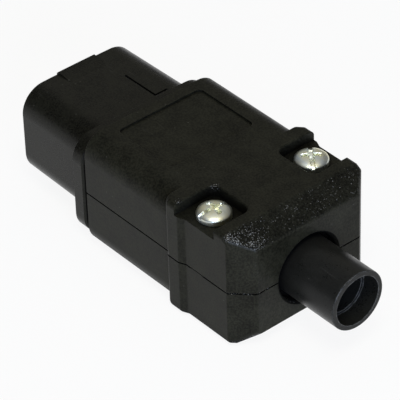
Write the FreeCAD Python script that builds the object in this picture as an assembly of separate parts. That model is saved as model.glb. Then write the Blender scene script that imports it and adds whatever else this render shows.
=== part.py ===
"""Rewireable 16 A appliance connector with three flat-pin sockets and a cable sleeve.

Frame, in millimetres: X runs along the connector from the socket nose (-X) to the cable sleeve (+X),
Y runs across it and Z is up. The origin lies under the middle of the length, on the resting plane.
"""

import FreeCAD
import Part
import math
import os
from FreeCAD import Vector

# Lengths along X
TOTAL_LENGTH = 83.1
NOSE_LENGTH = 19.6
COLLAR_LENGTH = 3.4
COLLAR_GAP = 0.57
BODY_LENGTH = 46.2

X_TIP = -TOTAL_LENGTH / 2
X_COLLAR = X_TIP + NOSE_LENGTH
X_BODY = X_COLLAR + COLLAR_LENGTH + COLLAR_GAP
X_REAR = X_BODY + BODY_LENGTH
X_END = TOTAL_LENGTH / 2

# How far a cutter or a joint runs past the face that it meets
OVERRUN = 1.0

# How near a station, a height or a direction must lie to count as the same
MATCH = 0.01

# Heights
BODY_HEIGHT = 26.1
PARTING_Z = 12.95
SEAM = 0.32
SOCKET_Z = 13.1
CABLE_Z = 12.4

# Socket nose, drafted from its tip to its root
NOSE_WIDTH = 28.0
NOSE_HEIGHT = 20.4
NOSE_CORNER = 5.5
NOSE_DRAFT = 0.2
NOSE_TIP_CHAMFER = 0.5
NOSE_WALL = 2.0

# Pad along the nose's top, which rises towards the tip, and the bent groove beside it
PAD_HALF_WIDTH = 4.6
PAD_RISE = 0.5
PAD_LENGTH = 5.0
GROOVE_LENGTH = 9.6
GROOVE_REACH = 3.3
GROOVE_WIDTH = 0.45
GROOVE_DEPTH = 0.6

COLLAR_WIDTH = 33.6
COLLAR_LOW = 0.9
COLLAR_HIGH = 23.6
COLLAR_CORNER = 4.9
COLLAR_CHAMFER = 0.4

# Sockets for three 8 x 2 mm pins, the earth above the line and the neutral
SLOT_WIDTH = 8.8
SLOT_HEIGHT = 2.8
SLOT_CHAMFER = 0.6
PIN_SPREAD = 6.5
PIN_RISE = 4.0
CAVITY_WIDTH = 8.6
CAVITY_HEIGHT = 5.6

# Carrier behind the collar, with its retaining flange and its terminal decks
CARRIER_WIDTH = 25.0
CARRIER_HEIGHT = 18.0
CARRIER_CORNER = 3.0
CARRIER_LENGTH = 8.0
DECK_LENGTH = 11.6
DECK_WALL = 1.3
FLANGE_START = 4.0
FLANGE_LENGTH = 2.0
FLANGE_RISE = 1.3
STEM_WIDTH = 4.0
EARTH_DECK_WIDTH = 8.8
EARTH_DECK_THICKNESS = 2.7

# Contacts of folded brass and their screw terminals
STRIP = 0.8
LEAF_BACK = 2.0
LEAF_BEND = -8.0
LEAF_GRIP_DEPTH = 6.0
LEAF_TIP_GAP = 0.8
TAIL_END_GAP = 1.5
LEAF_RISE = 2.0
LEAF_GRIP = 1.35
LEAF_FLARE = 2.1
CONTACT_WIDTH = 8.0
TAIL_WIDTH = 6.2
TAIL_SHIFT = 1.1
TERMINAL_X = 13.6
TERMINAL_SCREW_R = 1.7
TERMINAL_HEAD_R = 2.9
TERMINAL_HEAD_HEIGHT = 2.0
TERMINAL_NUT = 5.6
TERMINAL_NUT_THICKNESS = 2.2
TERMINAL_WASHER = 6.0
TERMINAL_WASHER_THICKNESS = 0.8
TERMINAL_WASHER_CORNER = 1.0

# Shells: the front part, the shoulder rib and the rear block, measured from the body's front face
FRONT_WIDTH = 33.6
FRONT_TOP_ROUND = 4.8
FRONT_LOW_ROUND = 4.8
FRONT_CHAMFER = 0.35
RIB_START = 25.0
RIB_RAMP = 0.9
RIB_LENGTH = 3.1
RIB_RUN_OUT = 1.5
RIB_WIDTH = 35.2
REAR_WIDTH = 33.9
REAR_FACE_WIDTH = 25.9
REAR_CHAMFER = 4.0
REAR_TOP_ROUND = 1.3
REAR_LOW_ROUND = 2.0
SLOPE_START = 41.3
SLOPE_DROP = 2.7
LOW_SLOPE_START = 42.3
LOW_SLOPE_RISE = 3.0
UPRIGHT_ROUND = 0.7
WALL = 2.3
CAVITY_END = 39.9
CAVITY_CORNER = 2.0
NECK_LENGTH = 3.6
NECK_GAP = 0.2
RING_END = 7.6
LIP = 0.9
LIP_GAP = 0.1
LIP_FOOT = 0.6
LIP_START_GAP = 0.2
LIP_RISE = 1.0
LIP_LAP = 2.0

# Recessed label field on the top
FIELD_START = 2.9
FIELD_LENGTH = 16.2
FIELD_WIDTH = 20.8
FIELD_DEPTH = 0.4
FIELD_CORNER = 1.2

# Screw pockets, housing screws and nuts
POCKET_START = 28.2
POCKET_LENGTH = 10.6
POCKET_INNER_Y = 7.7
POCKET_FLOOR_Z = 23.7
POCKET_CORNER = 1.8
POCKET_CHAMFER = 0.2
POCKET_WALL = 1.9
SCREW_X = 33.4
SCREW_Y = 12.2
SCREW_R = 1.9
SCREW_CLEARANCE_R = 2.15
SCREW_HEAD_R = 3.4
SCREW_HEAD_EDGE = 1.1
SCREW_HEAD_HEIGHT = 2.1
SCREW_TIP_Z = 0.6
TIP_CHAMFER = 0.45

# Crown of a pan head: shares of the head's radius and of its rise above the edge
CROWN = ((1.0, 0.0), (0.9, 0.55), (0.68, 0.88), (0.36, 1.0))

RECESS_SPAN = 4.2
RECESS_WIDTH = 0.9
RECESS_DEPTH = 1.2
UPPER_BOSS_R = 3.8
LOWER_BOSS_R = 5.0
NUT_FLATS = 7.0
NUT_THICKNESS = 3.0
NUT_SEAT_Z = 3.4
NUT_GAP = 0.1

# Cable sleeve and the hole that it leaves through
SLEEVE_R = 6.35
SLEEVE_MOUTH_R = 5.25
SLEEVE_BORE_R = 4.6
SLEEVE_MOUTH_DEPTH = 4.0
SLEEVE_END_ROUND = 0.25
SLEEVE_END_STEPS = 3
SLEEVE_FLANGE_R = 8.9
SLEEVE_FLANGE_START = 41.3
SLEEVE_FLANGE_END = 42.8
SLEEVE_GAP = 0.12
SLEEVE_END_GAP = 0.1
EXIT_R = 7.3
EXIT_CHAMFER = 0.5
EXIT_DEPTH = 2.4

# Cord clamp
CLAMP_X = 24.2
CLAMP_WIDTH = 5.6
CLAMP_SPREAD = 9.2
CLAMP_HALF_SPAN = 12.0
CLAMP_EAR = 3.4
CLAMP_SHOULDER = 6.4
CLAMP_TOP = 6.7
CLAMP_TAPER = 1.6
CLAMP_END_ROUND = 2.6
CLAMP_ARCH_R = 4.7
CLAMP_BOSS_R = 2.8
CLAMP_SCREW_R = 1.3
CLAMP_HEAD_R = 2.6
CLAMP_HEAD_HEIGHT = 1.8
CLAMP_SCREW_DEPTH = 6.0
CLAMP_HOLE_DEPTH = 7.0
CRADLE_LENGTH = 2.0
CRADLE_DROP = 1.0
BOSS_ROOT = 0.5

POLES = {
    "line": (-PIN_SPREAD, SOCKET_Z - PIN_RISE, -PIN_SPREAD - TAIL_SHIFT),
    "neutral": (PIN_SPREAD, SOCKET_Z - PIN_RISE, PIN_SPREAD + TAIL_SHIFT),
    "earth": (0.0, SOCKET_Z + PIN_RISE, 0.0),
}
SIDES = (-1, 1)


def body_x(distance):
    """X of a station measured back from the body's front face."""
    return X_BODY + distance


def box(x0, x1, y0, y1, z0, z1):
    return Part.makeBox(x1 - x0, y1 - y0, z1 - z0, Vector(x0, y0, z0))


def rod(radius, x, y, z0, z1):
    """Upright cylinder."""
    return Part.makeCylinder(radius, z1 - z0, Vector(x, y, z0))


def corner(centre, radius, start, axes):
    """Quarter arc in the plane of two axes, from the start angle in degrees onwards."""
    u, v = axes

    def at(degrees):
        turn = math.radians(degrees)
        return centre + u * (radius * math.cos(turn)) + v * (radius * math.sin(turn))

    return Part.Arc(at(start), at(start + 45), at(start + 90)).toShape()


def section(x, half_width, z_low, z_high, top_round, low_round):
    """Closed rounded rectangle across the connector at one X."""
    axes = (Vector(0, 1, 0), Vector(0, 0, 1))
    arcs = [
        corner(Vector(x, half_width - top_round, z_high - top_round), top_round, 0, axes),
        corner(Vector(x, top_round - half_width, z_high - top_round), top_round, 90, axes),
        corner(Vector(x, low_round - half_width, z_low + low_round), low_round, 180, axes),
        corner(Vector(x, half_width - low_round, z_low + low_round), low_round, 270, axes),
    ]
    edges = []
    for here, after in zip(arcs, arcs[1:] + arcs[:1]):
        edges.append(here)
        edges.append(Part.makeLine(here.Vertexes[-1].Point, after.Vertexes[0].Point))
    return Part.Wire(edges)


def prism(x0, x1, half_width, z_low, z_high, top_round, low_round=None):
    """Rounded bar along X."""
    low_round = top_round if low_round is None else low_round
    face = Part.Face(section(x0, half_width, z_low, z_high, top_round, low_round))
    return face.extrude(Vector(x1 - x0, 0, 0))


def tray(x0, x1, y0, y1, z0, z1, radius):
    """Upright block with rounded upright edges."""
    block = box(x0, x1, y0, y1, z0, z1)
    return block.makeFillet(radius, upright_edges(block))


def upright_edges(shape):
    return [e for e in shape.Edges if is_upright(e)]


def is_upright(edge):
    return len(edge.Vertexes) == 2 and abs(edge.tangentAt(edge.FirstParameter).z) > 1 - MATCH


def revolve_x(profile, z):
    """Turns a closed profile of (x, radius) points about the X-parallel axis at height z."""
    points = [Vector(x, 0, z + r) for x, r in profile]
    face = Part.Face(Part.makePolygon(points + points[:1]))
    return face.revolve(Vector(0, 0, z), Vector(1, 0, 0), 360)


def lathe(outline, x, y):
    """Turns a closed outline of (radius, z) points about the upright axis at x, y."""
    points = [Vector(x + r, y, z) for r, z in outline]
    face = Part.Face(Part.makePolygon(points + points[:1]))
    return face.revolve(Vector(x, y, 0), Vector(0, 0, 1), 360)


def across(points, y0, y1):
    """Extrudes a closed outline of (x, z) points along Y."""
    corners = [Vector(x, y0, z) for x, z in points]
    return Part.Face(Part.makePolygon(corners + corners[:1])).extrude(Vector(0, y1 - y0, 0))


def folded_strip(path, y0, y1):
    """Sheet metal of one thickness bent along a path of (x, z) points, mitred at its bends."""
    half = STRIP / 2
    left, right = [], []
    for i, (x, z) in enumerate(path):
        before = path[max(i - 1, 0)]
        after = path[min(i + 1, len(path) - 1)]
        directions = [d for d in (unit(before, (x, z)), unit((x, z), after)) if d]
        nx = sum(-d[1] for d in directions)
        nz = sum(d[0] for d in directions)
        mitre = half * len(directions) / (nx * nx + nz * nz)
        left.append((x + nx * mitre, z + nz * mitre))
        right.append((x - nx * mitre, z - nz * mitre))
    return across(left + right[::-1], y0, y1)


def unit(a, b):
    length = math.hypot(b[0] - a[0], b[1] - a[1])
    return ((b[0] - a[0]) / length, (b[1] - a[1]) / length) if length else None


def fused(shapes):
    whole = shapes[0].fuse(shapes[1:]) if len(shapes) > 1 else shapes[0]
    return whole.removeSplitter()


def nose():
    """Drafted nose with a pad on its top that rises towards the tip."""
    half_width, half_height = NOSE_WIDTH / 2, NOSE_HEIGHT / 2
    ends = ((X_TIP, 0), (X_COLLAR + COLLAR_CHAMFER, NOSE_DRAFT))
    wires = [
        section(x, half_width + grow, SOCKET_Z - half_height - grow, SOCKET_Z + half_height + grow,
                NOSE_CORNER, NOSE_CORNER)
        for x, grow in ends
    ]
    shell = Part.makeLoft(wires, True, True)
    tip = [e for e in shell.Edges if abs(e.BoundBox.XMax - X_TIP) < MATCH]
    shell = shell.makeChamfer(NOSE_TIP_CHAMFER, tip)
    top = SOCKET_Z + half_height
    pad_outline = [
        (X_TIP, SOCKET_Z),
        (X_TIP, top + PAD_RISE - NOSE_TIP_CHAMFER),
        (X_TIP + NOSE_TIP_CHAMFER, top + PAD_RISE),
        (X_TIP + PAD_LENGTH, top),
        (X_TIP + PAD_LENGTH, SOCKET_Z),
    ]
    pad = across(pad_outline, -PAD_HALF_WIDTH, PAD_HALF_WIDTH)
    return shell.fuse(pad).cut(bent_groove(top - GROOVE_DEPTH, top + OVERRUN))


def bent_groove(z0, z1):
    """Groove back along the nose's top to the collar, then outwards in front of it."""
    y0 = PAD_HALF_WIDTH
    along = box(X_COLLAR - GROOVE_LENGTH, X_COLLAR, y0, y0 + GROOVE_WIDTH, z0, z1)
    return along.fuse(box(X_COLLAR - GROOVE_WIDTH, X_COLLAR, y0, y0 + GROOVE_REACH, z0, z1))


def collar():
    ring = prism(X_COLLAR, X_COLLAR + COLLAR_LENGTH, COLLAR_WIDTH / 2, COLLAR_LOW, COLLAR_HIGH, COLLAR_CORNER)
    return ring.makeChamfer(COLLAR_CHAMFER, rims(ring))


def rims(bar):
    """Edges of both ends of a bar along X."""
    return [e for e in bar.Edges if e.BoundBox.XLength < MATCH]


def carrier():
    """Block inside the shells, with the flange that holds it and a deck for each terminal."""
    x_start = X_COLLAR + COLLAR_LENGTH
    low, high = SOCKET_Z - CARRIER_HEIGHT / 2, SOCKET_Z + CARRIER_HEIGHT / 2
    half = CARRIER_WIDTH / 2
    x_block, x_deck = body_x(CARRIER_LENGTH), body_x(CARRIER_LENGTH + DECK_LENGTH)
    block = prism(x_start, x_block, half, low, high, CARRIER_CORNER)
    flange_x = body_x(FLANGE_START)
    flange = prism(flange_x, flange_x + FLANGE_LENGTH, half + FLANGE_RISE,
                   low - FLANGE_RISE, high + FLANGE_RISE, CARRIER_CORNER)
    power_deck = tail_z("line") - STRIP / 2
    earth_deck = tail_z("earth") - STRIP / 2
    lap = x_block - OVERRUN
    deck = prism(lap, x_deck, half, low, high, CARRIER_CORNER)
    deck = deck.cut([
        box(lap, x_deck, DECK_WALL - half, half - DECK_WALL, power_deck, high),
        box(lap, x_deck, -half, half, PARTING_Z, high),
    ])
    stem = box(lap, x_deck, -STEM_WIDTH / 2, STEM_WIDTH / 2, low, earth_deck)
    shelf = box(lap, x_deck, -EARTH_DECK_WIDTH / 2, EARTH_DECK_WIDTH / 2,
                earth_deck - EARTH_DECK_THICKNESS, earth_deck)
    return fused([block, flange, deck, stem, shelf])


def tail_z(pole):
    """Height of the middle of a contact's tail."""
    return POLES[pole][1] - LEAF_RISE


def pole_space(pole):
    """Way for one pin and its contact through the nose and the carrier."""
    y, z, _ = POLES[pole]
    half_slot, half_cavity = SLOT_WIDTH / 2, CAVITY_WIDTH / 2
    x_block = body_x(CARRIER_LENGTH)
    low, high = z - CAVITY_HEIGHT / 2, z + CAVITY_HEIGHT / 2
    slot = box(X_TIP - OVERRUN, X_TIP + NOSE_WALL + OVERRUN, y - half_slot, y + half_slot,
               z - SLOT_HEIGHT / 2, z + SLOT_HEIGHT / 2)
    cavity = box(X_TIP + NOSE_WALL, x_block + OVERRUN, y - half_cavity, y + half_cavity, low, high)
    below_deck = box(x_block - OVERRUN, x_block + OVERRUN, y - half_cavity, y + half_cavity,
                     low, tail_z(pole) - STRIP / 2)
    return slot.fuse([slot_lead_in(y, z), cavity.cut(below_deck), terminal_nut(pole, NUT_GAP)])


def socket_insert():
    return nose().fuse(collar()).cut([pole_space(pole) for pole in POLES]).removeSplitter()


def contact_carrier():
    return carrier().cut([pole_space(pole) for pole in POLES]).removeSplitter()


def slot_lead_in(y, z):
    """Flared mouth of one pin slot."""
    half_width, half_height = SLOT_WIDTH / 2, SLOT_HEIGHT / 2
    wires = []
    for x, grow in ((X_TIP, SLOT_CHAMFER), (X_TIP + SLOT_CHAMFER, 0)):
        corners = [
            Vector(x, y + sy * (half_width + grow), z + sz * (half_height + grow))
            for sy, sz in ((-1, -1), (1, -1), (1, 1), (-1, 1))
        ]
        wires.append(Part.makePolygon(corners + corners[:1]))
    return Part.makeLoft(wires, True, True)


def contact(pole):
    """Hairpin spring that grips one pin, with a tail drilled for its terminal screw."""
    y, z, tail_y = POLES[pole]
    back, straight = body_x(LEAF_BACK), body_x(LEAF_BEND)
    grip, front = X_TIP + LEAF_GRIP_DEPTH, X_TIP + NOSE_WALL + LEAF_TIP_GAP
    upper = [(front, z + LEAF_FLARE), (grip, z + LEAF_GRIP), (straight, z + LEAF_RISE), (back, z + LEAF_RISE)]
    lower = [(x, 2 * z - height) for x, height in reversed(upper)]
    spring = folded_strip(upper + lower, y - CONTACT_WIDTH / 2, y + CONTACT_WIDTH / 2)
    tail_end = body_x(CARRIER_LENGTH + DECK_LENGTH - TAIL_END_GAP)
    low = tail_z(pole) - STRIP / 2
    tail = box(back - STRIP, tail_end, tail_y - TAIL_WIDTH / 2, tail_y + TAIL_WIDTH / 2, low, low + STRIP)
    hole = rod(TERMINAL_SCREW_R, body_x(TERMINAL_X), tail_y, low - OVERRUN, low + STRIP + OVERRUN)
    return fused([spring, tail]).cut(hole)


def terminal_nut(pole, gap=0.0):
    """Square nut under a contact's tail, or its pocket when a gap is given."""
    tail_y = POLES[pole][2]
    top = tail_z(pole) - STRIP / 2
    half = TERMINAL_NUT / 2 + gap
    x = body_x(TERMINAL_X)
    low = top - TERMINAL_NUT_THICKNESS
    nut = box(x - half, x + half, tail_y - half, tail_y + half, low, top)
    return nut if gap else nut.cut(rod(TERMINAL_SCREW_R, x, tail_y, low - OVERRUN, top + OVERRUN))


def terminal_washer(pole):
    tail_y = POLES[pole][2]
    low = tail_z(pole) + STRIP / 2
    half = TERMINAL_WASHER / 2
    x = body_x(TERMINAL_X)
    top = low + TERMINAL_WASHER_THICKNESS
    plate = tray(x - half, x + half, tail_y - half, tail_y + half, low, top, TERMINAL_WASHER_CORNER)
    return plate.cut(rod(TERMINAL_SCREW_R, x, tail_y, low - OVERRUN, top + OVERRUN))


def screw(x, y, seat_z, tip_z, shank_r, head):
    """Screw standing on a seat, its head given as radii and heights above the seat."""
    outline = [
        (0, tip_z),
        (shank_r - TIP_CHAMFER, tip_z),
        (shank_r, tip_z + TIP_CHAMFER),
        (shank_r, seat_z),
    ]
    outline += [(r, seat_z + rise) for r, rise in head]
    outline.append((0, seat_z + head[-1][1]))
    return lathe(outline, x, y)


def pan_head():
    rise = SCREW_HEAD_HEIGHT - SCREW_HEAD_EDGE
    return [(SCREW_HEAD_R, 0)] + [(SCREW_HEAD_R * share, SCREW_HEAD_EDGE + rise * lift) for share, lift in CROWN]


def cheese_head(radius, height):
    return [(radius, 0), (radius, height)]


def cross_recess(x, y, top_z):
    """Cross-shaped driving recess, one arm lengthened into a slot."""
    half, half_width = RECESS_SPAN / 2, RECESS_WIDTH / 2
    above = top_z + OVERRUN
    arm = box(-half, half, -half_width, half_width, top_z - RECESS_DEPTH, above)
    slot = box(-half_width, half_width, -SCREW_HEAD_R, SCREW_HEAD_R, top_z - RECESS_DEPTH / 2, above)
    recess = arm.fuse([arm.rotated(Vector(), Vector(0, 0, 1), 90), slot])
    recess.translate(Vector(x, y, 0))
    return recess


def housing_screw(side):
    x, y = body_x(SCREW_X), side * SCREW_Y
    blank = screw(x, y, POCKET_FLOOR_Z, SCREW_TIP_Z, SCREW_R, pan_head())
    return blank.cut(cross_recess(x, y, POCKET_FLOOR_Z + SCREW_HEAD_HEIGHT))


def hexagon(x, y, flats, z0, z1):
    reach = flats / 2 / math.cos(math.pi / 6)
    turns = [math.radians(60 * i) for i in range(7)]
    points = [Vector(x + reach * math.cos(t), y + reach * math.sin(t), z0) for t in turns]
    return Part.Face(Part.makePolygon(points)).extrude(Vector(0, 0, z1 - z0))


def housing_nut(side):
    x, y = body_x(SCREW_X), side * SCREW_Y
    nut = hexagon(x, y, NUT_FLATS, NUT_SEAT_Z - NUT_THICKNESS, NUT_SEAT_Z)
    return nut.cut(rod(SCREW_R, x, y, 0, NUT_SEAT_Z + OVERRUN))


def rear_plan(z0, z1):
    """Upright block with the plan of the shoulder rib, the rear block and its chamfered corners."""
    half = [
        (RIB_START, FRONT_WIDTH / 2),
        (RIB_START + RIB_RAMP, RIB_WIDTH / 2),
        (RIB_START + RIB_RAMP + RIB_LENGTH, RIB_WIDTH / 2),
        (RIB_START + RIB_RAMP + RIB_LENGTH + RIB_RUN_OUT, REAR_WIDTH / 2),
        (BODY_LENGTH - REAR_CHAMFER, REAR_WIDTH / 2),
        (BODY_LENGTH, REAR_FACE_WIDTH / 2),
    ]
    outline = [Vector(body_x(x), y, z0) for x, y in half]
    outline += [Vector(body_x(x), -y, z0) for x, y in reversed(half)]
    return Part.Face(Part.makePolygon(outline + outline[:1])).extrude(Vector(0, 0, z1 - z0))


def rear_block():
    """Rear block with the ends of its top and bottom sloped in towards the sleeve."""
    block = rear_plan(0, BODY_HEIGHT)
    beyond = BODY_LENGTH + OVERRUN
    slope = SLOPE_DROP / (BODY_LENGTH - SLOPE_START)
    low_slope = LOW_SLOPE_RISE / (BODY_LENGTH - LOW_SLOPE_START)
    above = [(SLOPE_START, BODY_HEIGHT), (beyond, BODY_HEIGHT - slope * (beyond - SLOPE_START)),
             (beyond, BODY_HEIGHT + OVERRUN), (SLOPE_START, BODY_HEIGHT + OVERRUN)]
    below = [(LOW_SLOPE_START, 0), (beyond, low_slope * (beyond - LOW_SLOPE_START)),
             (beyond, -OVERRUN), (LOW_SLOPE_START, -OVERRUN)]
    for wedge in (above, below):
        block = block.cut(across([(body_x(x), z) for x, z in wedge], -RIB_WIDTH, RIB_WIDTH))
    block = block.makeFillet(REAR_TOP_ROUND, rim_edges(block, BODY_HEIGHT))
    block = block.makeFillet(REAR_LOW_ROUND, rim_edges(block, 0))
    behind = body_x(RIB_START) + MATCH
    return block.makeFillet(UPRIGHT_ROUND, [e for e in upright_edges(block) if e.CenterOfMass.x > behind])


def rim_edges(block, level):
    """Side and rear edges of a block's top or bottom, without the line where its slope begins."""
    found = []
    for edge in block.Edges:
        middle = edge.CenterOfMass
        at_level = abs(middle.z - level) < SLOPE_DROP + MATCH
        crossing = abs(middle.y) < MATCH and middle.x < X_REAR - MATCH
        if at_level and not is_upright(edge) and not crossing and middle.x > body_x(RIB_START) + MATCH:
            found.append(edge)
    return found


def outer_body():
    front = prism(X_BODY, body_x(RIB_START + OVERRUN), FRONT_WIDTH / 2, 0, BODY_HEIGHT,
                  FRONT_TOP_ROUND, FRONT_LOW_ROUND)
    front = front.makeChamfer(FRONT_CHAMFER, [e for e in rims(front) if e.BoundBox.XMax < X_BODY + MATCH])
    whole = front.fuse(rear_block())
    field = tray(body_x(FIELD_START), body_x(FIELD_START + FIELD_LENGTH), -FIELD_WIDTH / 2, FIELD_WIDTH / 2,
                 BODY_HEIGHT - FIELD_DEPTH, BODY_HEIGHT + OVERRUN, FIELD_CORNER)
    pockets = [screw_pocket(side, 0) for side in SIDES]
    bevels = [pocket_bevel(side) for side in SIDES]
    return whole.cut([field] + pockets + bevels).removeSplitter()


def screw_pocket(side, wall):
    """Notch for one housing screw, open upwards and to the side, grown by a wall all round."""
    y0, y1 = sorted((side * (POCKET_INNER_Y - wall), side * RIB_WIDTH))
    return tray(body_x(POCKET_START - wall), body_x(POCKET_START + POCKET_LENGTH + wall), y0, y1,
                POCKET_FLOOR_Z - wall, BODY_HEIGHT + OVERRUN, POCKET_CORNER)


def pocket_bevel(side):
    """Flare that breaks the upper edge of one screw pocket."""
    low = BODY_HEIGHT - POCKET_CHAMFER
    y0, y1 = sorted((side * (POCKET_INNER_Y - POCKET_CHAMFER), side * RIB_WIDTH))
    block = tray(body_x(POCKET_START) - POCKET_CHAMFER, body_x(POCKET_START + POCKET_LENGTH) + POCKET_CHAMFER,
                 y0, y1, low, BODY_HEIGHT + OVERRUN, POCKET_CORNER + POCKET_CHAMFER)
    return block.makeChamfer(POCKET_CHAMFER, [e for e in block.Edges if e.BoundBox.ZMax < low + MATCH])


def inner_space():
    """Hollow inside the two shells: the carrier's neck and groove, the wiring room and the sleeve's seat."""
    carrier_low, carrier_high = SOCKET_Z - CARRIER_HEIGHT / 2, SOCKET_Z + CARRIER_HEIGHT / 2
    half = CARRIER_WIDTH / 2
    neck = prism(X_BODY - OVERRUN, body_x(RING_END + OVERRUN), half + NECK_GAP,
                 carrier_low, carrier_high + NECK_GAP, CARRIER_CORNER)
    rise = FLANGE_RISE + NECK_GAP
    groove = prism(body_x(NECK_LENGTH), body_x(FLANGE_START + FLANGE_LENGTH), half + rise,
                   carrier_low - rise, carrier_high + rise, CARRIER_CORNER)
    room = prism(body_x(RING_END), body_x(CAVITY_END), FRONT_WIDTH / 2 - WALL, WALL, BODY_HEIGHT - WALL,
                 CAVITY_CORNER)
    for side in SIDES:
        room = room.cut(screw_pocket(side, POCKET_WALL))
    passage_r = SLEEVE_R + SLEEVE_GAP
    exit_x = BODY_LENGTH - EXIT_DEPTH
    seat = revolve_x([
        (body_x(CAVITY_END - OVERRUN), 0),
        (body_x(CAVITY_END - OVERRUN), passage_r),
        (body_x(SLEEVE_FLANGE_START), passage_r),
        (body_x(SLEEVE_FLANGE_START), SLEEVE_FLANGE_R + SLEEVE_GAP),
        (body_x(SLEEVE_FLANGE_END), SLEEVE_FLANGE_R + SLEEVE_GAP),
        (body_x(SLEEVE_FLANGE_END), passage_r),
        (body_x(exit_x), passage_r),
        (body_x(exit_x), EXIT_R),
        (X_REAR - EXIT_CHAMFER, EXIT_R),
        (X_REAR + OVERRUN, EXIT_R + EXIT_CHAMFER + OVERRUN),
        (X_REAR + OVERRUN, 0),
    ], CABLE_Z)
    return neck.fuse([groove, room, seat])


def hollow_body():
    return outer_body().cut(inner_space())


def shell_half(z_low, z_high):
    """The part of the hollow body between two heights."""
    return hollow_body().common(box(X_BODY - OVERRUN, X_REAR + OVERRUN, -RIB_WIDTH, RIB_WIDTH, z_low, z_high))


def upper_shell():
    pieces = [shell_half(PARTING_Z + SEAM / 2, BODY_HEIGHT + OVERRUN)]
    holes = []
    x = body_x(SCREW_X)
    for side in SIDES:
        pieces.append(rod(UPPER_BOSS_R, x, side * SCREW_Y, PARTING_Z, POCKET_FLOOR_Z - BOSS_ROOT))
        holes.append(rod(SCREW_CLEARANCE_R, x, side * SCREW_Y, PARTING_Z - OVERRUN, BODY_HEIGHT))
    return fused(pieces).cut(holes)


def lower_shell():
    pieces = [shell_half(-OVERRUN, PARTING_Z - SEAM / 2), cradle()]
    cuts = []
    for side in SIDES:
        x, y = body_x(SCREW_X), side * SCREW_Y
        clamp_x, clamp_y = body_x(CLAMP_X), side * CLAMP_SPREAD
        pieces.append(rod(LOWER_BOSS_R, x, y, WALL - BOSS_ROOT, PARTING_Z).common(rear_plan(0, PARTING_Z)))
        pieces.append(rod(CLAMP_BOSS_R, clamp_x, clamp_y, WALL - BOSS_ROOT, PARTING_Z))
        pieces.append(seam_lip(side))
        cuts.append(rod(SCREW_CLEARANCE_R, x, y, -OVERRUN, PARTING_Z + OVERRUN))
        cuts.append(hexagon(x, y, NUT_FLATS + 2 * NUT_GAP, -OVERRUN, NUT_SEAT_Z))
        cuts.append(rod(CLAMP_SCREW_R, clamp_x, clamp_y, PARTING_Z - CLAMP_HOLE_DEPTH, PARTING_Z + OVERRUN))
    return fused(pieces).cut(cuts)


def seam_lip(side):
    """Lip along one side of the lower shell that laps inside the upper one, on a foot from the wall."""
    x0, x1 = body_x(RING_END + LIP_START_GAP), body_x(POCKET_START - OVERRUN)
    wall_y = FRONT_WIDTH / 2 - WALL
    foot_z = PARTING_Z - LIP_LAP
    inner, outer = sorted((side * (wall_y - LIP), side * (wall_y - LIP_GAP)))
    lip = box(x0, x1, inner, outer, foot_z, PARTING_Z + LIP_RISE)
    inner, outer = sorted((side * (wall_y - LIP), side * (wall_y + OVERRUN)))
    return lip.fuse(box(x0, x1, inner, outer, foot_z - LIP_FOOT, foot_z))


def cradle():
    """Rib under the cable, hollowed to its round."""
    x = body_x(CLAMP_X)
    half = CRADLE_LENGTH / 2
    rib = box(x - half, x + half, -CLAMP_SPREAD, CLAMP_SPREAD, WALL - BOSS_ROOT, PARTING_Z - CRADLE_DROP)
    return rib.cut(cable_round(x - CRADLE_LENGTH, x + CRADLE_LENGTH))


def cable_round(x0, x1):
    return Part.makeCylinder(CLAMP_ARCH_R, x1 - x0, Vector(x0, 0, CABLE_Z), Vector(1, 0, 0))


def cable_sleeve():
    """Tube with a captive flange, a rounded end and a stepped bore."""
    start, flange_end = body_x(SLEEVE_FLANGE_START + SLEEVE_END_GAP), body_x(SLEEVE_FLANGE_END)
    step = X_END - SLEEVE_MOUTH_DEPTH
    outline = [
        (start, SLEEVE_BORE_R),
        (start, SLEEVE_FLANGE_R),
        (flange_end, SLEEVE_FLANGE_R),
        (flange_end, SLEEVE_R),
    ]
    for i in range(SLEEVE_END_STEPS + 1):
        turn = math.pi / 2 * i / SLEEVE_END_STEPS
        outline.append((X_END - SLEEVE_END_ROUND * (1 - math.sin(turn)),
                        SLEEVE_R - SLEEVE_END_ROUND * (1 - math.cos(turn))))
    outline += [(X_END, SLEEVE_MOUTH_R), (step, SLEEVE_MOUTH_R), (step, SLEEVE_BORE_R)]
    return revolve_x(outline, CABLE_Z)


def cord_clamp():
    """Saddle bar over the cable, an ear at each end for its screw."""
    base, x = PARTING_Z, body_x(CLAMP_X)
    x0 = x - CLAMP_WIDTH / 2
    crest = CLAMP_SHOULDER - CLAMP_TAPER
    right = [
        (CLAMP_HALF_SPAN, 0),
        (CLAMP_HALF_SPAN, CLAMP_EAR),
        (CLAMP_SHOULDER, CLAMP_EAR),
        (crest, CLAMP_TOP),
    ]
    profile = right + [(-y, z) for y, z in reversed(right)]
    points = [Vector(x0, y, base + z) for y, z in profile]
    bar = Part.Face(Part.makePolygon(points + points[:1])).extrude(Vector(CLAMP_WIDTH, 0, 0))
    ends = [e for e in upright_edges(bar) if abs(e.CenterOfMass.y) > CLAMP_HALF_SPAN - MATCH]
    bar = bar.makeFillet(CLAMP_END_ROUND, ends)
    holes = [rod(CLAMP_SCREW_R, x, side * CLAMP_SPREAD, base - OVERRUN, base + CLAMP_TOP) for side in SIDES]
    return bar.cut([cable_round(x0 - OVERRUN, x0 + CLAMP_WIDTH + OVERRUN)] + holes)


def cord_clamp_screw(side):
    x, y = body_x(CLAMP_X), side * CLAMP_SPREAD
    seat = PARTING_Z + CLAMP_EAR
    blank = screw(x, y, seat, PARTING_Z - CLAMP_SCREW_DEPTH, CLAMP_SCREW_R,
                  cheese_head(CLAMP_HEAD_R, CLAMP_HEAD_HEIGHT))
    return blank.cut(screw_slot(x, y, CLAMP_HEAD_R, seat + CLAMP_HEAD_HEIGHT))


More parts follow.
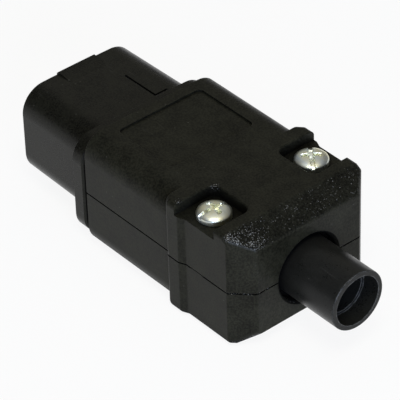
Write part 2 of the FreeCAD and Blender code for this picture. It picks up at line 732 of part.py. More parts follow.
def terminal_screw(pole):
    x, y = body_x(TERMINAL_X), POLES[pole][2]
    seat = tail_z(pole) + STRIP / 2 + TERMINAL_WASHER_THICKNESS
    tip = tail_z(pole) - STRIP / 2 - TERMINAL_NUT_THICKNESS
    blank = screw(x, y, seat, tip, TERMINAL_SCREW_R, cheese_head(TERMINAL_HEAD_R, TERMINAL_HEAD_HEIGHT))
    return blank.cut(screw_slot(x, y, TERMINAL_HEAD_R, seat + TERMINAL_HEAD_HEIGHT))


def screw_slot(x, y, head_r, top_z):
    half_width = RECESS_WIDTH / 2
    return box(x - head_r, x + head_r, y - half_width, y + half_width, top_z - RECESS_DEPTH, top_z + OVERRUN)


def group(solids):
    return Part.makeCompound(solids)


def main():
    os.makedirs("parts", exist_ok=True)
    nodes = {
        "socket_insert": socket_insert(),
        "contact_carrier": contact_carrier(),
        "upper_shell": upper_shell(),
        "lower_shell": lower_shell(),
        "cable_sleeve": cable_sleeve(),
        "housing_screws": group([housing_screw(side) for side in SIDES]),
        "housing_nuts": group([housing_nut(side) for side in SIDES]),
        "line_contact": contact("line"),
        "neutral_contact": contact("neutral"),
        "earth_contact": contact("earth"),
        "terminal_nuts": group([terminal_nut(pole) for pole in POLES]),
        "terminal_washers": group([terminal_washer(pole) for pole in POLES]),
        "terminal_screws": group([terminal_screw(pole) for pole in POLES]),
        "cord_clamp": cord_clamp(),
        "cord_clamp_screws": group([cord_clamp_screw(side) for side in SIDES]),
    }
    for name, shape in nodes.items():
        print(name, "valid" if shape.isValid() else "INVALID", len(shape.Solids), round(shape.Volume, 1))
        shape.exportStep(os.path.join("parts", name + ".step"))


main()
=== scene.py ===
"""Looks of a rewireable 16 A appliance connector: moulded black shells, socket nose and cable sleeve,
bright plated housing screws, brass contacts, on a plain pale floor in soft studio light."""

import math

import bpy
from mathutils import Matrix, Vector


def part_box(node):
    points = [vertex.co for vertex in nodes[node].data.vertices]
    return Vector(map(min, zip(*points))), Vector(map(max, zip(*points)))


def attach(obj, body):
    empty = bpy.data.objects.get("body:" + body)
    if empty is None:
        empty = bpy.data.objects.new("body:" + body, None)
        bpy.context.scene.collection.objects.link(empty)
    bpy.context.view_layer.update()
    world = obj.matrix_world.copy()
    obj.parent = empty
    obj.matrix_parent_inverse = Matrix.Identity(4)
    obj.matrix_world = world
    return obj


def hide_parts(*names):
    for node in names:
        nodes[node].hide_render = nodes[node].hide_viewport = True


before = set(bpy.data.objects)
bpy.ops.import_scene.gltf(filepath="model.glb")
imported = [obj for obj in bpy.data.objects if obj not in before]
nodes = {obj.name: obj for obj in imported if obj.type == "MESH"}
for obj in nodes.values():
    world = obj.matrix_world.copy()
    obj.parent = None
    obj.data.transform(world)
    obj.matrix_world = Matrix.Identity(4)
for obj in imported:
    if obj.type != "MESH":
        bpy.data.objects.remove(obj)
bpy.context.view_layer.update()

MM = 0.001

# View: where the camera stands, how it is turned, its lens and the width of its film
CAMERA_PLACE = Vector((345.714, -285.948, 354.528)) * MM
CAMERA_AZIMUTH = math.radians(50.686)
CAMERA_ELEVATION = math.radians(37.316)
CAMERA_ROLL = math.radians(-1.9)
CAMERA_LENS = 262.215
CAMERA_FILM = 36.0

# Plastics: base colours, the tones of what lies on them, and the tones for painted shade (black), the painted
# edge highlight and painted glints
SHELL_COLOUR = (0.0127, 0.0126, 0.0085)
INSERT_COLOUR = (0.0078, 0.0077, 0.0052)
SLEEVE_COLOUR = (0.0108, 0.0109, 0.0098)
CLAMP_COLOUR = (0.016, 0.016, 0.016)
BLACK = (0.0, 0.0, 0.0, 1)
SCUFF_TONE = (0.05, 0.05, 0.047, 1)
DUST_TONE = (0.16, 0.155, 0.14, 1)
PAINTED_EDGE_HIGHLIGHT = (0.12, 0.12, 0.116, 1)
PAINTED_GLINT_TONE = (0.36, 0.36, 0.35, 1)

# Plastics: how far edges and the painted corner shade reach, the amount of handling, and what each does to
# the roughness
PLASTIC_IOR = 1.46
EDGE_REACH = 0.35 * MM
EDGE_ROUND = 0.1 * MM
CORNER_REACH = 4 * MM
HANDLING = 0.25
MOTTLE_ROUGHER = 0.12
CORNER_ROUGHER = 0.6
EDGE_SMOOTHER = 0.06
GLINT_SMOOTHER = 0.12

# Shells: where the coarse skin of the sloped ends starts, how it fades in, its grains, lean and shade
SLOPE_FRONT_X = 23.5 * MM
SLOPE_BLEND = 0.6 * MM
SLOPE_GRAINS = 4600.0
SLOPE_LEAN = 0.55
SLOPE_SHADE = 0.35

# Shells: how far up or down a face looks where the coarse skin starts and where it is full
SLOPE_FROM = 0.25
SLOPE_FULL = 0.6

# Shells: share of grains with a painted glint and the glint's strength, at two stations across the slope
GLINT_SHARE = ((-8 * MM, 0.07), (-15.5 * MM, 0.6))
GLINT_STRENGTH = ((-6 * MM, 0.45), (-15 * MM, 0.9))

# Shells: places on the pocket edges with painted glints, how wide each is, and the share of grains there with
# a painted glint
PAINTED_GLINT_SPOTS = (((11.2 * MM, -8.2 * MM, 26.0 * MM), 1.5 * MM), ((9.9 * MM, -16.1 * MM, 26.0 * MM), 1.0 * MM))
SPOT_SHARE = 0.6
SPOT_FULL = 0.4

# Shared patterns: how often they repeat, by the grain or by the metre, and how the scuffs are drawn out
CLOUDS_A_GRAIN = 0.045
SPECKLES_A_GRAIN = 0.5
GLINT_PATCHES = 330.0
EDGE_BREAKS = 900.0
SCUFF_TURN = (0.3, 0.2, 0.55)
SCUFF_STRETCH = (160, 2600, 900)
SCUFF_PATCHES = 120.0
DUST_CELLS = 620.0
DUST_PATCHES = 260.0
HAZE_A_CLOUD = 3.0
PAPER_FLECKS = 900.0

# Sleeve: the painted shade at its root fades out between these stations
ROOT_FULL_X = 29 * MM
ROOT_END_X = 34 * MM

# Plating: the film's colours along its clouds, its grain and haze, and its bare edges
FILM_COLOURS = ((0.32, (0.79, 0.88, 0.90, 1)), (0.48, (0.90, 0.92, 0.79, 1)), (0.66, (0.92, 0.88, 0.60, 1)))
FILM_CLOUDS = 420.0
PLATED_GRAINS = 9000.0
PLATED_RELIEF = 0.004 * MM
PLATED_HAZE = 0.2
PLATED_EDGE_TONE = (0.86, 0.86, 0.84, 1)
PLATED_EDGE_SHARE = 0.4
PLATED_EDGE_REACH = 0.2 * MM
PLATED_EDGE_ROUND = 0.12 * MM

# Brass: dulled and bright tone, grain and roughness
BRASS_DULL = (0.62, 0.44, 0.18, 1)
BRASS_BRIGHT = (0.80, 0.62, 0.30, 1)
BRASS_GRAINS = 6000.0
BRASS_RELIEF = 0.005 * MM
BRASS_ROUGH = 0.25
BRASS_ROUGHER = 0.15

# Floor: half its side in metres, its height just under the connector, its paper and its share of plain white
FLOOR_HALF = 4.0
FLOOR_Z = -0.02 * MM
PAPER_DARK = (0.88, 0.89, 0.91, 1)
PAPER_LIGHT = (0.90, 0.91, 0.93, 1)
WHITE_SHARE = 0.9

# Room: brightness of its walls by height, from level to straight up, and their tint
WALL_LEVELS = ((0.0, 0.97), (0.025, 0.6), (0.07, 0.16), (0.55, 0.12), (0.8, 0.2), (1.0, 0.7))
WALL_TINT = (0.97, 0.98, 1.05)

# Lamps: name, place and size in metres, watts and colour
WARM_WHITE = (1.0, 0.97, 0.80)
COOL_WHITE = (0.62, 0.74, 1.0)
LAMPS = (
    ("overhead", Vector((0.35, -0.26, 0.90)) * 0.8, 0.3, 2.55, WARM_WHITE),
    ("card", Vector((0.84, -0.40, 0.22)) * 0.8, 0.5, 5.8, COOL_WHITE),
    ("softbox", Vector((-0.62, 0.51, 0.60)), 0.9, 0.5, WARM_WHITE),
)

# Housing screws: the head, its cross recess and slot, the thread, and how far each one is turned
HEAD_EDGE = 0.95 * MM
HEAD_HEIGHT = 2.1 * MM
HEAD_FOOT = 0.12 * MM
CROSS_HALF_WIDTH = 0.5 * MM
CROSS_REACH = 2.1 * MM
CROSS_DEPTH = 1.2 * MM
SLOT_HALF_WIDTH = 0.42 * MM
SLOT_DEPTH = 0.32 * MM
SHANK_RADIUS = 1.9 * MM
THREAD_DEPTH = 0.35 * MM
THREAD_PITCH = 0.7 * MM
SCREW_TURNS = {-1: math.radians(86), 1: math.radians(-36)}
SHARP_FROM = math.radians(40)

# Housing screws: shares of the slot and cross that are at full depth, the taper of the cross, and the crown
SLOT_FLAT = 0.85
CROSS_FLAT = 0.78
CROSS_FULL = 0.86
CROSS_TAPER = 0.72
CROWN_SPREAD = 2.3
CROWN_CURVE = 0.55

# Kinds of the sockets that a shared effect puts out
VALUE, NORMAL, COLOUR = "NodeSocketFloat", "NodeSocketVector", "NodeSocketColor"


def feed(tree, socket, value):
    """Links a socket or sets it to a plain value."""
    if isinstance(value, bpy.types.NodeSocket):
        tree.links.new(value, socket)
    else:
        socket.default_value = value


def put(tree, kind, inputs=None, **settings):
    """Adds a node with its settings and its inputs, which are given by name or by number."""
    made = tree.nodes.new(kind)
    for name, value in settings.items():
        setattr(made, name, value)
    for key, value in (inputs or {}).items():
        feed(tree, made.inputs[key], value)
    return made


def calc(tree, operation, a, b=0.0, c=0.0):
    """One step of arithmetic on values."""
    return put(tree, "ShaderNodeMath", {0: a, 1: b, 2: c}, operation=operation).outputs[0]


def point(tree, operation, a, b=(0.0, 0.0, 0.0)):
    """One step of arithmetic on points or directions."""
    return put(tree, "ShaderNodeVectorMath", {0: a, 1: b}, operation=operation).outputs


def ease(tree, value, low, high, to_low=0.0, to_high=1.0):
    """Smooth step of a value between two levels."""
    levels = {"Value": value, "From Min": low, "From Max": high, "To Min": to_low, "To Max": to_high}
    return put(tree, "ShaderNodeMapRange", levels, interpolation_type="SMOOTHSTEP").outputs["Result"]


def grow(tree, value, stations):
    """Smooth change of a value between two stations, each with its level."""
    (start, at_start), (end, at_end) = stations
    return ease(tree, value, start, end, at_start, at_end)


def blend(tree, share, a, b, kind="RGBA"):
    """Mixes two colours, or two normals."""
    mix = put(tree, "ShaderNodeMix", data_type=kind)
    feed(tree, mix.inputs["Factor"], share)
    feed(tree, mix.inputs["A"], a)
    feed(tree, mix.inputs["B"], b)
    return mix.outputs["Result"]


def colour_scale(tree, value, stops):
    """Colour along a scale, from pairs of a position and a colour."""
    made = put(tree, "ShaderNodeValToRGB", {"Fac": value})
    marks = made.color_ramp.elements
    while len(marks) < len(stops):
        marks.new(0.5)
    for mark, (position, colour) in zip(marks, stops):
        mark.position = position
        mark.color = colour
    return made.outputs["Color"]


def place(tree):
    """Position on the object."""
    return put(tree, "ShaderNodeTexCoord").outputs["Object"]


def axes(tree, vector):
    """The three parts of a point or direction, by the names X, Y and Z."""
    return put(tree, "ShaderNodeSeparateXYZ", {0: vector}).outputs


def face_normal(tree):
    """Direction that the bare face looks in."""
    return put(tree, "ShaderNodeNewGeometry").outputs["Normal"]


def rounded_normal(tree, radius):
    """Direction of the face with its edges rounded off."""
    return put(tree, "ShaderNodeBevel", {"Radius": radius}, samples=4).outputs["Normal"]


def noise(tree, scale, detail=2.0, rough=0.5, vector=None):
    """Cloudy pattern from 0 to 1."""
    inputs = {"Vector": vector or place(tree), "Scale": scale, "Detail": detail, "Roughness": rough}
    return put(tree, "ShaderNodeTexNoise", inputs).outputs["Fac"]


def cells(tree, scale, feature="F1"):
    """Pattern of irregular cells."""
    return put(tree, "ShaderNodeTexVoronoi", {"Vector": place(tree), "Scale": scale}, feature=feature).outputs


def start_group(name, inputs, outputs):
    """Empty node group with named sockets and its two end nodes."""
    tree = bpy.data.node_groups.new(name, "ShaderNodeTree")
    for label, preset in inputs.items():
        socket = tree.interface.new_socket(label, in_out="INPUT", socket_type=VALUE)
        socket.default_value = preset
    for label, kind in outputs.items():
        tree.interface.new_socket(label, in_out="OUTPUT", socket_type=kind)
    return tree, tree.nodes.new("NodeGroupInput").outputs, tree.nodes.new("NodeGroupOutput").inputs


def moulded_grain_group():
    """Fine grain of a moulded face, with slow changes of tone over it."""
    tree, given, result = start_group("moulded_grain", {"Grains": 5000.0}, {"Height": VALUE, "Mottle": VALUE})
    fine = noise(tree, given["Grains"], 3.0, 0.6)
    pits = cells(tree, given["Grains"], "SMOOTH_F1")["Distance"]
    feed(tree, result["Height"], calc(tree, "MULTIPLY_ADD", pits, 0.6, calc(tree, "MULTIPLY", fine, 0.7)))
    clouds = calc(tree, "MULTIPLY", given["Grains"], CLOUDS_A_GRAIN)
    cloud = ease(tree, noise(tree, clouds, 4.0, 0.55), 0.3, 0.7)
    speckles = calc(tree, "MULTIPLY", given["Grains"], SPECKLES_A_GRAIN)
    speckle = ease(tree, noise(tree, speckles, 1.0, 0.5), 0.34, 0.66)
    feed(tree, result["Mottle"], calc(tree, "MULTIPLY_ADD", speckle, 0.6, calc(tree, "MULTIPLY", cloud, 0.4)))
    return tree


def spark_texture_group():
    """Coarse spark-eroded skin of small grains, each leaning its own way, a few of them picked for a painted
    glint.
    """
    tree, given, result = start_group("spark_texture", {"Grains": 4600.0, "Lean": 0.5, "Bright Share": 0.1},
                                      {"Normal": NORMAL, "Glint": VALUE})
    grains = cells(tree, given["Grains"])
    aside = point(tree, "SUBTRACT", grains["Color"], (0.5, 0.5, 0.5))["Vector"]
    lean = put(tree, "ShaderNodeVectorMath", {0: aside, "Scale": given["Lean"]}, operation="SCALE")
    leaning = point(tree, "ADD", face_normal(tree), lean.outputs["Vector"])["Vector"]
    feed(tree, result["Normal"], point(tree, "NORMALIZE", leaning)["Vector"])
    draws = put(tree, "ShaderNodeSeparateColor", {0: grains["Color"]}).outputs
    patchy = ease(tree, noise(tree, GLINT_PATCHES, 3.0, 0.6), 0.36, 0.62, 0.25, 1.75)
    picked = calc(tree, "LESS_THAN", draws["Green"], calc(tree, "MULTIPLY", given["Bright Share"], patchy))
    middle = ease(tree, grains["Distance"], 0.6, 0.25)
    strength = calc(tree, "MULTIPLY_ADD", calc(tree, "POWER", draws["Blue"], 2.0), 0.85, 0.15)
    feed(tree, result["Glint"], calc(tree, "MULTIPLY", calc(tree, "MULTIPLY", picked, middle), strength))
    return tree


def corner_shade_group():
    """How open a spot is: 1 on a free face, less in corners and recesses, for painting shade there."""
    tree, given, result = start_group("corner_shade", {"Reach": 4 * MM}, {"Open": VALUE})
    around = put(tree, "ShaderNodeAmbientOcclusion", {"Distance": given["Reach"]}, samples=8)
    feed(tree, result["Open"], ease(tree, around.outputs["AO"], 0.2, 0.95))
    return tree


def edge_wear_and_highlight_group():
    """Mask of the narrow strip along an edge that handling has polished, also used to paint a highlight along
    the edge.
    """
    tree, given, result = start_group("edge_wear_and_highlight", {"Reach": 0.4 * MM}, {"Edge": VALUE})
    along = point(tree, "DOT_PRODUCT", rounded_normal(tree, given["Reach"]), face_normal(tree))["Value"]
    bare = ease(tree, along, 0.995, 0.86)
    broken = ease(tree, noise(tree, EDGE_BREAKS, 3.0, 0.6), 0.3, 0.62)
    feed(tree, result["Edge"], calc(tree, "MULTIPLY", bare, broken))
    return tree


def handling_group():
    """Faint scuffs and dust specks left on a handled face."""
    tree, given, result = start_group("handling", {"Amount": 0.5}, {"Scuff": VALUE, "Dust": VALUE})
    strokes = {"Vector": place(tree), "Rotation": SCUFF_TURN, "Scale": SCUFF_STRETCH}
    lines = noise(tree, 1.0, 2.0, 0.5, put(tree, "ShaderNodeMapping", strokes).outputs["Vector"])
    patch = ease(tree, noise(tree, SCUFF_PATCHES, 2.0, 0.5), 0.5, 0.68)
    scuff = calc(tree, "MULTIPLY", ease(tree, lines, 0.62, 0.74), patch)
    feed(tree, result["Scuff"], calc(tree, "MULTIPLY", scuff, given["Amount"]))
    dots = ease(tree, cells(tree, DUST_CELLS)["Distance"], 0.13, 0.05)
    scarce = ease(tree, noise(tree, DUST_PATCHES, 1.0, 0.5), 0.56, 0.66)
    feed(tree, result["Dust"], calc(tree, "MULTIPLY", calc(tree, "MULTIPLY", dots, scarce), given["Amount"]))
    return tree


def plated_tint_group():
    """Clouded yellow and blue film of a zinc plating."""
    tree, given, result = start_group("plated_tint", {"Clouds": 420.0}, {"Color": COLOUR, "Haze": VALUE})
    cloud = noise(tree, given["Clouds"], 3.0, 0.55)
    feed(tree, result["Color"], colour_scale(tree, cloud, FILM_COLOURS))
    haze = calc(tree, "MULTIPLY", given["Clouds"], HAZE_A_CLOUD)
    feed(tree, result["Haze"], noise(tree, haze, 3.0, 0.6))
    return tree


GROUPS = {
    "grain": moulded_grain_group(),
    "spark": spark_texture_group(),
    "corner": corner_shade_group(),
    "edge": edge_wear_and_highlight_group(),
    "handling": handling_group(),
    "tint": plated_tint_group(),
}


def use(tree, group, **values):
    """Places a shared effect in a material with its own values."""
    made = tree.nodes.new("ShaderNodeGroup")
    made.node_tree = GROUPS[group]
    for name, value in values.items():
        feed(tree, made.inputs[name.replace("_", " ")], value)
    return made.outputs


def new_finish(name, **plain):
    """Material with an empty shader, its plain values set on the shader's own sockets."""
    material = bpy.data.materials.new(name)
    material.use_nodes = True
    tree = material.node_tree
    shader = tree.nodes["Principled BSDF"].inputs
    for socket, value in plain.items():
        shader[socket.replace("_", " ")].default_value = value
    return material, tree, shader


def grained_normal(tree, height, relief, rounding=None):
    """Normal of a grained face, its edges rounded off where a radius is given."""
    skin = put(tree, "ShaderNodeBump", {"Height": height, "Distance": relief})
    if rounding:
        feed(tree, skin.inputs["Normal"], rounded_normal(tree, rounding))
    return skin.outputs["Normal"]


def moulded_plastic(name, colour, grains, relief, rough, gloss, unevenness=0.6, painted_edge_highlights=False,
                    painted_shade_only_at_root=False, coarse_slopes_with_glints=False):
    """Black moulded plastic: grain, mottled tone, painted shade in corners and recesses, polished edges with
    a painted highlight where asked, coarse slopes with painted glints where asked, scuffs and specks.
    """
    material, tree, shader = new_finish(name, IOR=PLASTIC_IOR, Specular_IOR_Level=gloss)
    grain = use(tree, "grain", Grains=grains)
    edge = use(tree, "edge", Reach=EDGE_REACH)["Edge"]
    marks = use(tree, "handling", Amount=HANDLING)
    painted_corner_shade = calc(tree, "SUBTRACT", 1.0, use(tree, "corner", Reach=CORNER_REACH)["Open"])
    # On the sleeve the painted shade keeps to its root
    if painted_shade_only_at_root:
        painted_corner_shade = calc(tree, "MULTIPLY", painted_corner_shade, root_mask(tree))
    dark = tuple((1 - unevenness) * c for c in colour) + (1,)
    light = tuple((1 + unevenness) * c for c in colour) + (1,)
    tone = blend(tree, grain["Mottle"], dark, light)
    # Painted shade: corners and recesses are darkened towards black by how closed in they are
    tone = blend(tree, painted_corner_shade, tone, BLACK)
    # Painted highlight: a light line along the edges
    if painted_edge_highlights:
        tone = blend(tree, edge, tone, PAINTED_EDGE_HIGHLIGHT)
    tone = blend(tree, marks["Scuff"], tone, SCUFF_TONE)
    tone = blend(tree, marks["Dust"], tone, DUST_TONE)
    sheen = calc(tree, "MULTIPLY_ADD", grain["Mottle"], MOTTLE_ROUGHER, rough)
    sheen = calc(tree, "MULTIPLY_ADD", edge, -EDGE_SMOOTHER, sheen)
    sheen = calc(tree, "MULTIPLY_ADD", painted_corner_shade, CORNER_ROUGHER, sheen)
    surface = grained_normal(tree, grain["Height"], relief, EDGE_ROUND)
    if coarse_slopes_with_glints:
        tone, sheen, surface = coarse_skin(tree, tone, sheen, surface)
    feed(tree, shader["Base Color"], tone)
    feed(tree, shader["Roughness"], sheen)
    feed(tree, shader["Normal"], surface)
    return material


def coarse_skin(tree, tone, sheen, surface):
    """Tone, roughness and normal of a shell, with the coarse skin on its slopes and painted glints there and
    at spots on the pocket edges.
    """
    spot_glints = painted_glint_spots(tree)
    mask = calc(tree, "MAXIMUM", slope_mask(tree), spot_glints)
    across = axes(tree, place(tree))["Y"]
    share = calc(tree, "MAXIMUM", grow(tree, across, GLINT_SHARE), calc(tree, "MULTIPLY", spot_glints, SPOT_SHARE))
    lean = calc(tree, "MULTIPLY", mask, SLOPE_LEAN)
    spark = use(tree, "spark", Grains=SLOPE_GRAINS, Lean=lean, Bright_Share=share)
    strength = calc(tree, "MAXIMUM", grow(tree, across, GLINT_STRENGTH), spot_glints)
    painted_glint = calc(tree, "MULTIPLY", calc(tree, "MULTIPLY", spark["Glint"], mask), strength)
    tone = blend(tree, calc(tree, "MULTIPLY", mask, SLOPE_SHADE), tone, BLACK)
    # Painted glints: a few grains get a bright base colour, standing in for highlights
    tone = blend(tree, painted_glint, tone, PAINTED_GLINT_TONE)
    sheen = calc(tree, "MULTIPLY_ADD", painted_glint, -GLINT_SMOOTHER, sheen)
    return tone, sheen, blend(tree, mask, surface, spark["Normal"], "VECTOR")


def root_mask(tree):
    """The part of the sleeve next to the shells, where its painted shade is kept."""
    return ease(tree, axes(tree, place(tree))["X"], ROOT_END_X, ROOT_FULL_X)


def painted_glint_spots(tree):
    """Mask of the places on the pocket edges that get painted glints."""
    mask = 0.0
    for spot, width in PAINTED_GLINT_SPOTS:
        away = point(tree, "DISTANCE", place(tree), spot)["Value"]
        mask = calc(tree, "MAXIMUM", ease(tree, away, width, SPOT_FULL * width), mask)
    return mask


def slope_mask(tree):
    """Where the shells carry the coarse skin: the sloped ends of the top and of the bottom."""
    coords = put(tree, "ShaderNodeTexCoord").outputs
    along = axes(tree, coords["Object"])["X"]
    behind = ease(tree, along, SLOPE_FRONT_X - SLOPE_BLEND, SLOPE_FRONT_X + SLOPE_BLEND)
    upright = calc(tree, "ABSOLUTE", axes(tree, coords["Normal"])["Z"])
    return calc(tree, "MULTIPLY", behind, ease(tree, upright, SLOPE_FROM, SLOPE_FULL))


def plated_steel(name, rough):
    """Zinc-plated steel with a clouded film and a fine grain."""
    material, tree, shader = new_finish(name, Metallic=1.0)
    tint = use(tree, "tint", Clouds=FILM_CLOUDS)
    grain = use(tree, "grain", Grains=PLATED_GRAINS)
    edge = use(tree, "edge", Reach=PLATED_EDGE_REACH)["Edge"]
    bare = calc(tree, "MULTIPLY", edge, PLATED_EDGE_SHARE)
    feed(tree, shader["Base Color"], blend(tree, bare, tint["Color"], PLATED_EDGE_TONE))
    feed(tree, shader["Roughness"], calc(tree, "MULTIPLY_ADD", tint["Haze"], PLATED_HAZE, rough))
    feed(tree, shader["Normal"], grained_normal(tree, grain["Height"], PLATED_RELIEF, PLATED_EDGE_ROUND))
    return material


def stamped_brass(name):
    """Brass strip with a dulled, rolled face."""
    material, tree, shader = new_finish(name, Metallic=1.0)
    grain = use(tree, "grain", Grains=BRASS_GRAINS)
    feed(tree, shader["Base Color"], blend(tree, grain["Mottle"], BRASS_DULL, BRASS_BRIGHT))
    feed(tree, shader["Roughness"], calc(tree, "MULTIPLY_ADD", grain["Mottle"], BRASS_ROUGHER, BRASS_ROUGH))
    feed(tree, shader["Normal"], grained_normal(tree, grain["Height"], BRASS_RELIEF))
    return material


def step(value, low, high):
    """Smooth step of a plain number."""
    share = min(max((value - low) / (high - low), 0.0), 1.0)
    return share * share * (3 - 2 * share)


def recess_depth(u, v):
    """Depth of the driving recess at a point of the head, u along the slot and v across it."""
    depth = SLOT_DEPTH * (1 - step(abs(v), SLOT_FLAT * SLOT_HALF_WIDTH, SLOT_HALF_WIDTH))
    for along, beside in ((abs(u), abs(v)), (abs(v), abs(u))):
        inside = 1 - step(beside, CROSS_FLAT * CROSS_HALF_WIDTH, CROSS_HALF_WIDTH)
        reached = 1 - step(along, CROSS_FULL * CROSS_REACH, CROSS_REACH)
        depth = max(depth, inside * reached * CROSS_DEPTH * (1 - CROSS_TAPER * along / CROSS_REACH))
    return depth


def ring(radius, height, turns, depth=None):
    """Points round an upright axis, sunk where a depth is given."""
    points = []
    for i in range(turns):
        angle = 2 * math.pi * i / turns
        u, v = radius * math.cos(angle), radius * math.sin(angle)
        points.append(Vector((u, v, height - (depth(u, v) if depth else 0.0))))
    return points


def join_rings(rings):
    """Corners and faces of a skin laid over rings of equal count, its two ends closed."""
    turns = len(rings[0])
    corners = [corner for points in rings for corner in points]
    faces = [tuple(range(turns)), tuple(range(len(corners) - 1, len(corners) - turns - 1, -1))]
    for row in range(len(rings) - 1):
        for i in range(turns):
            here, after = row * turns + i, row * turns + (i + 1) % turns
            faces.append((here, here + turns, after + turns, after))
    return corners, faces


def screw_head(radius, turns=160, steps=60):
    """Low crowned head with its recess, its seat at height 0."""
    rings = []
    for i in range(steps + 1):
        r = radius * math.sin(math.pi / 2 * max(i, 0.2) / steps)
        crown = max(1 - (r / radius) ** CROWN_SPREAD, 0.0) ** CROWN_CURVE
        rings.append(ring(r, HEAD_EDGE + (HEAD_HEIGHT - HEAD_EDGE) * crown, turns, recess_depth))
    rings.append(ring(radius, HEAD_FOOT, turns))
    rings.append(ring(radius - HEAD_FOOT, 0.0, turns))
    rings.append(ring(0.5 * SHANK_RADIUS, 0.0, turns))
    return join_rings(rings)


def screw_shank(length, turns=48, steps_a_pitch=6):
    """Threaded shank hanging down from height 0."""
    rings = []
    count = round(length / THREAD_PITCH * steps_a_pitch)
    for row in range(count + 1):
        height = -length * row / count
        ends_in = min(1.0, (length + height) / THREAD_PITCH)
        points = []
        for i in range(turns):
            phase = (height / THREAD_PITCH + i / turns) % 1.0
            r = SHANK_RADIUS - THREAD_DEPTH * max(abs(2 * phase - 1), 1 - ends_in)
            angle = 2 * math.pi * i / turns
            points.append(Vector((r * math.cos(angle), r * math.sin(angle), height)))
        rings.append(points)
    return join_rings(rings)


def add_housing_screws(finish):
    """Both housing screws, each turned as it was left, in place of the plain ones."""
    low, high = (Vector(corner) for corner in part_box("housing_screws"))
    radius = (high.x - low.x) / 2
    seat = high.z - HEAD_HEIGHT
    corners, faces = [], []
    for side, turn in SCREW_TURNS.items():
        axis = Matrix.Translation(((low.x + high.x) / 2, side * (high.y - radius), seat))
        spot = axis @ Matrix.Rotation(turn, 4, "Z")
        for points, skin in (screw_head(radius), screw_shank(seat - low.z)):
            first = len(corners)
            corners += [tuple(spot @ corner) for corner in points]
            faces += [tuple(first + i for i in face) for face in skin]
    mesh = bpy.data.meshes.new("screw_pair")
    mesh.from_pydata(corners, [], faces)
    mesh.materials.append(finish)
    mesh.shade_smooth()
    pair = bpy.data.objects.new("screw_pair", mesh)
    bpy.context.scene.collection.objects.link(pair)
    mesh.set_sharp_from_angle(angle=SHARP_FROM)
    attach(pair, "root")
    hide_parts("housing_screws")


def dress(finish, *names):
    """Gives CAD nodes their finish."""
    for name in names:
        slots = nodes[name].data.materials
        slots.clear()
        slots.append(finish)


def dress_connector():
    """Makes the finishes, gives each node its own, and puts the detailed screws in."""
    # The shells' slopes carry a coarse skin with painted glints, also painted at spots on the pocket edges
    shell = moulded_plastic("shell_plastic", SHELL_COLOUR, grains=5200.0, relief=0.010 * MM,
                            rough=0.30, gloss=0.102, coarse_slopes_with_glints=True)
    insert = moulded_plastic("insert_plastic", INSERT_COLOUR, grains=5600.0, relief=0.008 * MM,
                             rough=0.24, gloss=0.165)
    # The sleeve gets painted shade at its root only, and a painted highlight along its edges
    sleeve = moulded_plastic("sleeve_plastic", SLEEVE_COLOUR, grains=7000.0, relief=0.004 * MM,
                             rough=0.26, gloss=0.175, unevenness=0.3, painted_edge_highlights=True, painted_shade_only_at_root=True)
    clamp = moulded_plastic("clamp_plastic", CLAMP_COLOUR, grains=5200.0, relief=0.008 * MM,
                            rough=0.45, gloss=0.2)
    zinc = plated_steel("zinc_steel", rough=0.27)
    terminal = plated_steel("terminal_steel", rough=0.26)
    dress(shell, "upper_shell", "lower_shell")
    dress(insert, "socket_insert", "contact_carrier")
    dress(sleeve, "cable_sleeve")
    dress(clamp, "cord_clamp")
    dress(zinc, "housing_nuts")
    add_housing_screws(zinc)
    dress(terminal, "terminal_nuts", "terminal_washers", "terminal_screws", "cord_clamp_screws")
    dress(stamped_brass("contact_brass"), "line_contact", "neutral_contact", "earth_contact")


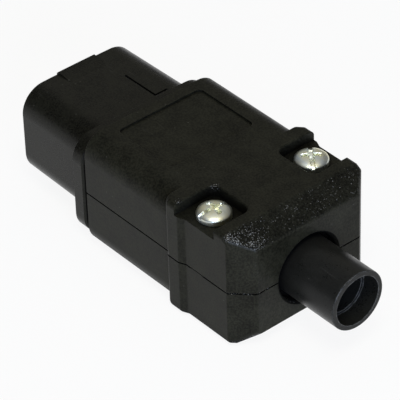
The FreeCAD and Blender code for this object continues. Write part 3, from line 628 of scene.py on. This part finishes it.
def lay_floor():
    """Wide pale floor that shows white and keeps a light shadow."""
    mesh = bpy.data.meshes.new("floor")
    signs = ((-1, -1), (1, -1), (1, 1), (-1, 1))
    mesh.from_pydata([(x * FLOOR_HALF, y * FLOOR_HALF, FLOOR_Z) for x, y in signs], [], [(0, 1, 2, 3)])
    floor = bpy.data.objects.new("floor", mesh)
    bpy.context.scene.collection.objects.link(floor)
    material = bpy.data.materials.new("floor_paper")
    material.use_nodes = True
    tree = material.node_tree
    tree.nodes.remove(tree.nodes["Principled BSDF"])
    tone = blend(tree, noise(tree, PAPER_FLECKS, 3.0, 0.6), PAPER_DARK, PAPER_LIGHT)
    paper = put(tree, "ShaderNodeBsdfDiffuse", {"Color": tone})
    white = put(tree, "ShaderNodeEmission", {"Color": (1.0, 1.0, 1.0, 1), "Strength": 1.0})
    ray = put(tree, "ShaderNodeLightPath").outputs
    seen = calc(tree, "MAXIMUM", ray["Is Camera Ray"], ray["Is Glossy Ray"])
    seen = calc(tree, "MAXIMUM", seen, ray["Is Transmission Ray"])
    share = calc(tree, "MULTIPLY", seen, WHITE_SHARE)
    mix = put(tree, "ShaderNodeMixShader", {0: share, 1: paper.outputs[0], 2: white.outputs[0]})
    feed(tree, tree.nodes["Material Output"].inputs["Surface"], mix.outputs[0])
    mesh.materials.append(material)


def light_room():
    """Pale walls low down, a dimmer room above, and soft lamps."""
    world = bpy.data.worlds.new("room")
    bpy.context.scene.world = world
    world.use_nodes = True
    tree = world.node_tree
    height = axes(tree, put(tree, "ShaderNodeTexCoord").outputs["Generated"])["Z"]
    stops = [(position, tuple(level * c for c in WALL_TINT) + (1,)) for position, level in WALL_LEVELS]
    feed(tree, tree.nodes["Background"].inputs["Color"], colour_scale(tree, height, stops))
    for lamp in LAMPS:
        add_lamp(*lamp)


def add_lamp(name, position, size, power, colour):
    """Round soft lamp that looks at the connector."""
    lamp = bpy.data.lights.new(name, "AREA")
    lamp.shape = "DISK"
    lamp.size = size
    lamp.energy = power
    lamp.color = colour
    placed = bpy.data.objects.new(name, lamp)
    placed.location = position
    placed.rotation_euler = (-position).to_track_quat("-Z", "Y").to_euler()
    bpy.context.scene.collection.objects.link(placed)


def set_camera():
    """Camera at the photograph's place, turned by its azimuth, elevation and roll."""
    a, e, roll = CAMERA_AZIMUTH, CAMERA_ELEVATION, CAMERA_ROLL
    back = Vector((math.sin(a) * math.cos(e), -math.cos(a) * math.cos(e), math.sin(e)))
    level = Vector((math.cos(a), math.sin(a), 0))
    upright = back.cross(level)
    right = math.cos(roll) * level + math.sin(roll) * upright
    up = math.cos(roll) * upright - math.sin(roll) * level
    camera = bpy.data.cameras.new("camera")
    camera.lens = CAMERA_LENS
    camera.sensor_width = CAMERA_FILM
    placed = bpy.data.objects.new("camera", camera)
    turn = Matrix((right, up, back)).transposed().to_4x4()
    placed.matrix_world = Matrix.Translation(CAMERA_PLACE) @ turn
    bpy.context.scene.collection.objects.link(placed)
    bpy.context.scene.camera = placed


dress_connector()
lay_floor()
light_room()
set_camera()
bpy.context.scene.view_settings.view_transform = "Standard"
